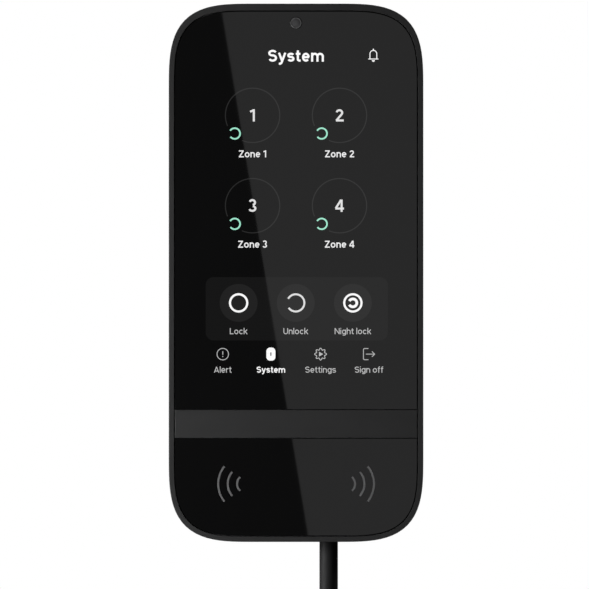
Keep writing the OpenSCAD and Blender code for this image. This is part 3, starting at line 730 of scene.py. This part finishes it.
def tie_strap():
    """Hook-and-loop strap round the right-hand runs, with its end lapped over."""
    low, high = HANK_X + TURN_R[2] - CABLE_R, CABLE_X + CABLE_R
    near, far = CABLE_DEPTH - CABLE_R, TAIL_DEPTH + CABLE_R
    middle = (HANK_TOP + HANK_BOTTOM) / 2
    corner_r, edge = 2.9, 0.25

    def around(away):
        """Loop round the runs, seen from above: x and depth."""
        return rounded(low - away, high + away, near - away, far + away, corner_r + away)

    def band(inner, outer, half):
        rings = []
        # (share of the way out, height)
        section = [(0, edge - half), (0, half - edge), (0.3, half), (0.7, half),
                   (1, half - edge), (1, edge - half), (0.7, -half), (0.3, -half)]
        for a, b in zip(around(inner), around(outer)):
            rings.append([
                at(a[0] + (b[0] - a[0]) * share, a[1] + (b[1] - a[1]) * share, middle + height)
                for share, height in section
            ])
        return loft(rings, True)

    lap = plate([rounded(low + 1.5, high - 4.5, middle - 5.6, middle + 5.6, 1.4)],
                far + 0.75, far + 1.3, 0.18)
    return [band(0.1, 0.8, 6), lap]


make_cord_pieces()


# Shells and glass ---------------------------------------------------------------------------------

def front_rings():
    """Profile of the front shell, from the parting line: (inset, depth, whether as the glass)."""
    groove, edge, nose, lip = 0.3, 0.25, 0.16, 0.1
    profile = [(groove, SPLIT + 0.02, False), (groove, SPLIT + 0.15, False),
               (groove * 0.3, SPLIT + 0.22, False), (0, SPLIT + 0.15 + edge, False),
               (0, SPLIT + 2, False), (0, BODY_D - 3, False)]
    for i in range(9):
        turn = math.pi / 2 * i / 8
        profile.append((nose * (1 - math.cos(turn)), BODY_D - nose + nose * math.sin(turn), False))
    shelf, shelf_back = WALL + 3, TAPE_BACK - 1.6
    profile += [(RIM - lip, BODY_D, True), (RIM - 0.03, BODY_D - 0.03, True),
                (RIM, BODY_D - lip, True), (RIM, TAPE_BACK, True), (shelf, TAPE_BACK, False),
                (shelf, shelf_back, False), (WALL, shelf_back, False), (WALL, SPLIT + 0.02, False)]
    return profile


def make_front():
    frame_loft = loft([ring_of(*place) for place in front_rings()], True)
    # bar behind the band
    bar = plate([between(outline(WALL + 0.5), STRIP_BOTTOM - 1.3, STRIP_TOP + 0.8)],
                TAPE_BACK - 0.8, TAPE_BACK - 0.02, 0.1)
    column = [(2.4, 0), (2.4, 7.6)]
    columns = [turned(column, (x, SPLIT + 0.05, z), 32) for x in SCREW_COLUMNS for z in SCREW_ROWS]
    finished("front_shell", [frame_loft, bar, *columns], "frame_plastic", ["front_frame"])

    inset = RIM + GLASS_GAP
    edge = outline(inset, True)
    hole = circle(0, LENS_Z, LENS_R + 0.08)
    gap, chamfer = 0.15, 0.12
    upper = plate([between(edge, STRIP_TOP + gap, BODY_H), hole], GLASS_BACK, BODY_D, chamfer)
    lower = plate([between(edge, -BODY_H, STRIP_BOTTOM - gap)], GLASS_BACK, BODY_D, chamfer)
    strip = plate([between(edge, STRIP_BOTTOM, STRIP_TOP)], TAPE_BACK, BODY_D - 0.05, 0.1)
    for name, mesh, slot, node_name in (
        ("upper_glass", upper, "cover_glass", "display_glass"),
        ("lower_glass", lower, "cover_glass", "reader_glass"),
        ("satin_strip", strip, "satin_band", "indicator_strip"),
    ):
        finished(name, [mesh], slot, [node_name], angle=20, flat_face=True)

    dome = [(1.44, -1.0), (1.44, -0.16), (1.38, -0.12), (1.0, -0.06), (0.5, -0.02), (0.1, -0.01)]
    ring = [(LENS_R, -1.1), (LENS_R, -0.1), (LENS_R - 0.05, -0.02), (LENS_R - 0.12, 0.01),
            (1.56, 0.01), (1.49, -0.03), (1.46, -0.12), (1.46, -1.1)]
    place = (0, BODY_D, LENS_Z)
    finished("sensor_window", [turned(dome, place, 48)], "sensor_window", ["sensor_lens"])
    piece("sensor_bezel", [turned(ring, place, 48, closed=True)],
          surface("sensor_ring", (0.13, 0.13, 0.132), 0.35, depth=0.001), "sensor_window")


make_front()


# Spring of the tamper button ----------------------------------------------------------------------

def make_button_spring():
    """Coil spring between the tamper button's collar and its switch."""
    place, radius, wire, turns = (0, 40), 2.95, 0.28, 3.5
    near, far, travel = 7.2, 9.6, 1
    steps, sides = 112, 10
    rings = []
    for i in range(steps + 1):
        turn = 2 * math.pi * turns * i / steps
        depth = near + (far - near) * i / steps
        ring = []
        for j in range(sides):
            around = 2 * math.pi * j / sides
            r = radius + wire * math.cos(around)
            ring.append(at(place[0] + r * math.cos(turn), depth + wire * math.sin(around),
                           place[1] + r * math.sin(turn)))
        rings.append(ring)
    spring = finished("button_spring", [loft(rings)], "contact_nickel", ["tamper_spring"])
    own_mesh(spring)


make_button_spring()


# Marks on the glass -------------------------------------------------------------------------------

COLUMNS = (-14, 14)
ROWS = (50.7, 21.6)
WHITE, PALE, SOFT, DIM = (1, 1, 1), (0.86, 0.86, 0.86), (0.75, 0.75, 0.75), (0.5, 0.5, 0.5)
MINT = (0.36, 0.82, 0.62)
# How far marks on the card stand out of the glass, over the card itself, and height of small labels
OVER = 0.09
LABEL = 1.95


def letter(c, w):
    """Width and paths of a plain sans letter with a capital height of 1 and strokes w wide."""
    # half a stroke, and the height of small letters
    h, x = w / 2, 0.75

    def bow(cx, cy, rx, ry, start, end):
        turns = [math.radians(start + (end - start) * i / 20) for i in range(21)]
        return [(cx + rx * math.cos(turn), cy + ry * math.sin(turn)) for turn in turns]

    def ess(wide, high):
        rx, waist = wide / 2 - h, high * 0.53
        return [bow(wide / 2, (high - h + waist) / 2, rx, (high - h - waist) / 2, 24, 265)
                + bow(wide / 2, (waist + h) / 2, rx, (waist - h) / 2, 85, -156)]

    def arch(left, right, foot=0.0):
        r = (right - left) / 2
        return bow(left + r, x - h - min(r, 0.27), r, min(r, 0.27), 180, 0) + [(right, foot)]

    def bowl(wide, start, end):
        return bow(wide / 2, x / 2, wide / 2 - h, x / 2 - h, start, end)

    letters = {
        "1": (0.44, [[(0.32, 0), (0.32, 1)], [(0.34, 0.93), (0.02, 0.80)]]),
        "2": (0.68, [bow(0.33, 0.71, 0.31 - h, 0.29 - h, 168, -38) + [(0.08, h)],
                     [(0.05, h), (0.68, h)]]),
        "3": (0.66, [bow(0.31, 0.76, 0.30 - h, 0.24 - h / 2, 160, -80),
                     bow(0.31, 0.275, 0.33 - h, 0.275 - h, 80, -160)]),
        "4": (0.72, [[(0.49, 0.98), (0.06, 0.30)], [(0.02, 0.27), (0.72, 0.27)],
                     [(0.53, 0), (0.53, 1)]]),
        "A": (0.84, [[(h * 0.9, 0), (0.42, 0.96)], [(0.84 - h * 0.9, 0), (0.42, 0.96)],
                     [(0.2, 0.27), (0.64, 0.27)]]),
        "L": (0.60, [[(h, 1), (h, 0)], [(h, h), (0.60, h)]]),
        "N": (0.82, [[(h, 0), (h, 1)], [(h, 0.96), (0.82 - h, 0.04)],
                     [(0.82 - h, 0), (0.82 - h, 1)]]),
        "S": (0.74, ess(0.74, 1)),
        "U": (0.76, [[(h, 1)] + bow(0.38, 0.34, 0.38 - h, 0.34 - h, 180, 360) + [(0.76 - h, 1)]]),
        "Z": (0.74, [[(0.03, 1 - h), (0.71, 1 - h)], [(0.64, 1 - h), (0.11, h)],
                     [(0.02, h), (0.74, h)]]),
        "c": (0.63, [bow(0.33, x / 2, 0.33 - h, x / 2 - h, 40, 320)]),
        "e": (0.65, [[(h, 0.38), (0.65 - h * 0.6, 0.38)], bowl(0.65, 0, 318)]),
        "f": (0.40, [[(0.17, 0), (0.17, 0.82)] + bow(0.35, 0.82, 0.18, 0.22 - h, 180, 85),
                     [(0, x - h), (0.38, x - h)]]),
        "g": (0.66, [bowl(0.66, 0, 360),
                     [(0.66 - h, x)] + bow(0.33, -0.01, 0.33 - h, 0.22 - h, 0, -145)]),
        "h": (0.64, [[(h, 0), (h, 1.04)], arch(h, 0.64 - h)]),
        "i": (w * 1.1, [[(h, 0), (h, x)], [(h, 0.90), (h, 0.90 + w)]]),
        "k": (0.61, [[(h, 0), (h, 1.04)], [(0.56, x), (0.13, 0.33)], [(0.25, 0.44), (0.59, 0)]]),
        "l": (w, [[(h, 0), (h, 1.04)]]),
        "m": (1.08, [[(h, 0), (h, x)], arch(h, 0.54), arch(0.54, 1.08 - h)]),
        "n": (0.64, [[(h, 0), (h, x)], arch(h, 0.64 - h)]),
        "o": (0.69, [bowl(0.69, 0, 360)]),
        "r": (0.40, [[(h, 0), (h, x)], bow(0.41, x - h - 0.27, 0.41 - h, 0.27, 180, 92)]),
        "s": (0.61, ess(0.61, x)),
        "t": (0.40, [[(0.17, 0.95), (0.17, 0.2)] + bow(0.34, 0.18, 0.17, 0.18 - h, 180, 270)
                     + [(0.40, h)], [(0, x - h), (0.38, x - h)]]),
        "y": (0.63, [[(0.05, x), (0.32, 0.04)],
                     [(0.58, x), (0.27, -0.08), (0.18, -0.17), (0.04, -0.18)]]),
        " ": (0.20, []),
    }
    return letters[c]


def words(text, x, z, height, weight, proud=MARK_PROUD):
    """Lettering of a given capital height, centred on x and z."""
    gap = 0.12
    drawn = [letter(c, weight) for c in text]
    left = x - height * (sum(wide for wide, _ in drawn) + gap * (len(drawn) - 1)) / 2
    meshes = []
    for wide, paths in drawn:
        for path in paths:
            placed = [(left + u * height, z + (v - 0.5) * height) for u, v in path]
            meshes.append(line(placed, weight * height, proud))
        left += (wide + gap) * height
    return meshes


def lit(name, parts, colour, strength=1.0):
    """A mark on the glass that shines."""
    material = glass_like(name, GLASS_BLACK, glow=colour, strength=strength)
    return piece(name, parts, material, angle=20, flat_face=True)


def make_screen():
    """The lit menu, in pieces of one brightness each."""
    rings, status, pale, soft, dim = [], [], [], [], []
    white = words("System", 0, 69.9, 3.8, 0.175)
    bell(white, 24.9, 70.1)
    for r, z in enumerate(ROWS):
        for c, x in enumerate(COLUMNS):
            number = 2 * r + c + 1
            # the faint ring is open where the status ring sits
            rings.append(line(arc(x, z, 8.75, -113, 203, 80), 0.32))
            soft += words(str(number), x, z, 3.95, 0.165)
            status.append(line(arc(x - 5.75, z - 5.85, 1.72, -142, 148), 0.5))
            pale += words(f"Zone {number}", x, z - 12.4, 2.25, 0.165)
    card, discs = make_card(white, soft, dim)
    make_tabs(white, dim)
    lit("screen_card", card, WHITE, 0.0045)
    lit("screen_discs", discs, WHITE, 0.0125)
    lit("screen_rings", rings, WHITE, 0.02)
    lit("screen_status", status, MINT)
    lit("screen_white", white, WHITE)
    lit("screen_pale", pale, PALE)
    lit("screen_soft", soft, SOFT)
    lit("screen_dim", dim, DIM)


def bell(out, x, z):
    """Icon in the menu's top corner."""
    w = 0.27
    out.append(line([(x - 1.1, z - 1.15), (x - 1.1, z + 0.2)] + arc(x, z + 0.4, 1.1, 170, 10, 16)
                    + [(x + 1.1, z + 0.2), (x + 1.1, z - 1.15)], w))
    out.append(line([(x - 1.5, z - 1.25), (x + 1.5, z - 1.25)], w, round_ends=True))
    out.append(disc(arc(x, z - 1.65, 0.5, 180, 360, 12)))
    out.append(line([(x, z + 1.55), (x, z + 1.85)], 0.38, round_ends=True))


def make_card(white, soft, dim):
    """The card with its three round keys."""
    middle = -9.7
    columns = (-18.5, -0.1, 18.3)
    card = [disc(rounded(-29.1, 29.6, -21.8, -1.4, 2.6))]
    discs = [disc(circle(x, middle, 6.1), 0.07) for x in columns]
    left, centre, right = columns
    for x in (left, right):
        white.append(line(arc(x, middle, 2.78, 0, 352.5, 47), 0.66, OVER, closed=True))
    soft.append(line(arc(centre, middle, 2.78, -145, 151), 0.6, OVER))
    white.append(line(arc(right, middle, 1.27, -152, 152), 0.84, OVER))
    for x, word in zip(columns, ("Lock", "Unlock", "Night lock")):
        dim += words(word, x, -18.8, LABEL, 0.135, OVER)
    return card, discs


def make_tabs(white, dim):
    """The four tabs at the foot of the menu, each an icon over its word."""
    columns = (-23.6, -8.1, 7.9, 23.5)
    level, words_at, w = -26.2, -31.2, 0.23
    for x, word in zip(columns, ("Alert", "System", "Settings", "Sign off")):
        if word == "System":
            white += words(word, x, words_at, LABEL, 0.175)
        else:
            dim += words(word, x, words_at, LABEL, 0.13)
    # alert: a circle with a bar and a dot
    x = columns[0]
    dim += [line(arc(x, level, 1.85, 0, 352.5, 47), w, closed=True),
            line([(x, level + 0.9), (x, level - 0.15)], 0.26),
            disc(circle(x, level - 0.75, 0.17, 12))]
    # keypad: a filled shape with a slot
    x = columns[1]
    white.append(plate([rounded(x - 1.45, x + 1.45, level - 2.1, level + 2.1, 1.2),
                        rounded(x - 0.17, x + 0.17, level - 0.6, level + 0.6, 0.16)],
                       BODY_D - MARK_SUNK, BODY_D + MARK_PROUD))
    # settings: a gear with a small triangle
    x = columns[2]
    gear, steps, teeth = [], 96, 8
    for i in range(steps):
        turn = 2 * math.pi * i / steps
        r = 1.64 + 0.28 * math.cos(teeth * turn)
        gear.append((x + r * math.cos(turn), level + r * math.sin(turn)))
    dim += [line(gear, 0.25, closed=True),
            disc([(x - 0.5, level + 0.78), (x - 0.5, level - 0.78), (x + 0.85, level)])]
    # sign off: a door with an arrow out of it
    x = columns[3]
    dim += [line([(x - 0.2, level + 1.8)] + arc(x - 1.4, level + 1.4, 0.4, 90, 180, 8)
                 + arc(x - 1.4, level - 1.4, 0.4, 180, 270, 8) + [(x - 0.2, level - 1.8)], w),
            line([(x - 1.0, level), (x + 1.75, level)], w),
            line([(x + 0.95, level + 0.85), (x + 1.8, level), (x + 0.95, level - 0.85)], w)]


def make_reader_marks():
    """Three arcs on each side of the reader, printed on the glass."""
    parts = []
    middle = -68
    for side in (-1, 1):
        for apex, half, radius in ((25.1, 5.65, 8.9), (22.0, 3.85, 5.9), (19.0, 2.2, 2.95)):
            reach = math.degrees(math.asin(half / radius))
            facing = 0 if side > 0 else 180
            wave = arc(side * (apex - radius), middle, radius, facing - reach, facing + reach)
            parts.append(line(wave, 0.62))
    ink = surface("mark_ink", (0.15, 0.15, 0.152), 0.3, mottle=0.05, depth=0.0005)
    piece("reader_marks", parts, ink, "cover_glass", flat_face=True)


make_screen()
make_reader_marks()


# Floor and light ----------------------------------------------------------------------------------

FLOOR_GLOW = 0.42
FLOOR_R, FLOOR_Z = 2.4, -0.3
WINDOW_POWER = 0.229


def make_floor():
    mesh = bpy.data.meshes.new("floor")
    rim = [(x, y, FLOOR_Z) for x, y in circle(0, 0, FLOOR_R, 128)]
    mesh.from_pydata(rim, [], [list(range(len(rim)))])
    mesh.materials.append(surface("floor_paint", (0.84, 0.84, 0.84), 0.75, mottle=0.01,
                                  mottle_size=300, grain=4, depth=0.02, glow=FLOOR_GLOW))
    floor = bpy.data.objects.new("floor", mesh)
    scene.collection.objects.link(floor)
    # the floor is seen, but does not light the dark object from below
    floor.visible_diffuse = False
    floor.visible_glossy = False


def area_light(name, place, target, size, power):
    """Soft box in metres and watts that faces its target and isn't seen itself."""
    data = bpy.data.lights.new(name, "AREA")
    data.shape = "RECTANGLE"
    data.size, data.size_y = size
    data.energy = power
    light = bpy.data.objects.new(name, data)
    scene.collection.objects.link(light)
    light.location = place
    light.rotation_euler = (Vector(target) - Vector(place)).to_track_quat("-Z", "Y").to_euler()
    light.visible_camera = False


def make_window_light():
    """Tall soft box behind the camera. Its left edge shows in the glass as a slanted line."""
    away = 3000
    reach = (VIEW_DISTANCE + away) / VIEW_DISTANCE
    # ends of the slanted line on the glass, and the ends of the light's edge that mirror there
    line_ends = ((-23.9, 84.1), (3.9, -84.8))
    high, low = (
        Vector((VIEW_X + (x - VIEW_X) * reach, VIEW_Z + (z - VIEW_Z) * reach)) for x, z in line_ends
    )
    along = (high - low).normalized()
    across = Vector((along.y, -along.x))
    width, height = 250, 640
    middle = (high + low) / 2 + across * width / 2
    data = bpy.data.lights.new("window", "AREA")
    data.shape = "RECTANGLE"
    data.size, data.size_y = width * MM, height * MM
    data.energy = WINDOW_POWER
    light = bpy.data.objects.new("window", data)
    scene.collection.objects.link(light)
    tilt = math.atan2(-along.x, along.y)
    # faces +Y, with its own Y axis along the slanted edge
    light.matrix_world = (
        Matrix.Translation(at(middle.x, BODY_D + away, middle.y))
        @ Matrix.Rotation(-tilt, 4, "Y")
        @ Matrix.Rotation(math.pi / 2, 4, "X")
    )
    light.visible_camera = False


def make_world():
    """White to the camera and nearly dark to the object."""
    world = bpy.data.worlds.new("studio")
    scene.world = world
    world.use_nodes = True
    tree = world.node_tree
    tree.nodes.clear()
    seen = node(tree, "ShaderNodeLightPath").outputs["Is Camera Ray"]
    dark = node(tree, "ShaderNodeBackground", {"Color": (0.05, 0.05, 0.05, 1)})
    pale = node(tree, "ShaderNodeBackground", {"Color": (1, 1, 1, 1)})
    mix = node(tree, "ShaderNodeMixShader", {0: seen, 1: dark.outputs[0], 2: pale.outputs[0]})
    node(tree, "ShaderNodeOutputWorld", {0: mix.outputs[0]})


make_floor()
make_world()
make_window_light()
area_light("key", (-0.32, -0.17, -0.05), (-0.02, 0, -0.02), (0.14, 0.1), 1.95)
area_light("fill", (1.6, -1.2, 0.9), (0, 0, -0.05), (0.9, 0.9), 1)
area_light("top", (0, 0.8, 1.7), (0, 0, 0), (1.4, 1.4), 16)
area_light("back_left", (-1.1, 1.2, 1.5), (0, 0, -0.05), (1.0, 1.0), 20)
area_light("back_right", (1.1, 1.2, 1.6), (0, 0, -0.05), (1.0, 1.0), 10)
area_light("behind", (0.2, 1.4, 1.5), (0, 0, -0.05), (1.2, 1.2), 34)
area_light("side", (1.7, 0.5, 1.5), (0, 0, -0.05), (1.0, 1.0), 16)
scene.view_settings.view_transform = "Standard"
scene.view_settings.look = "None"
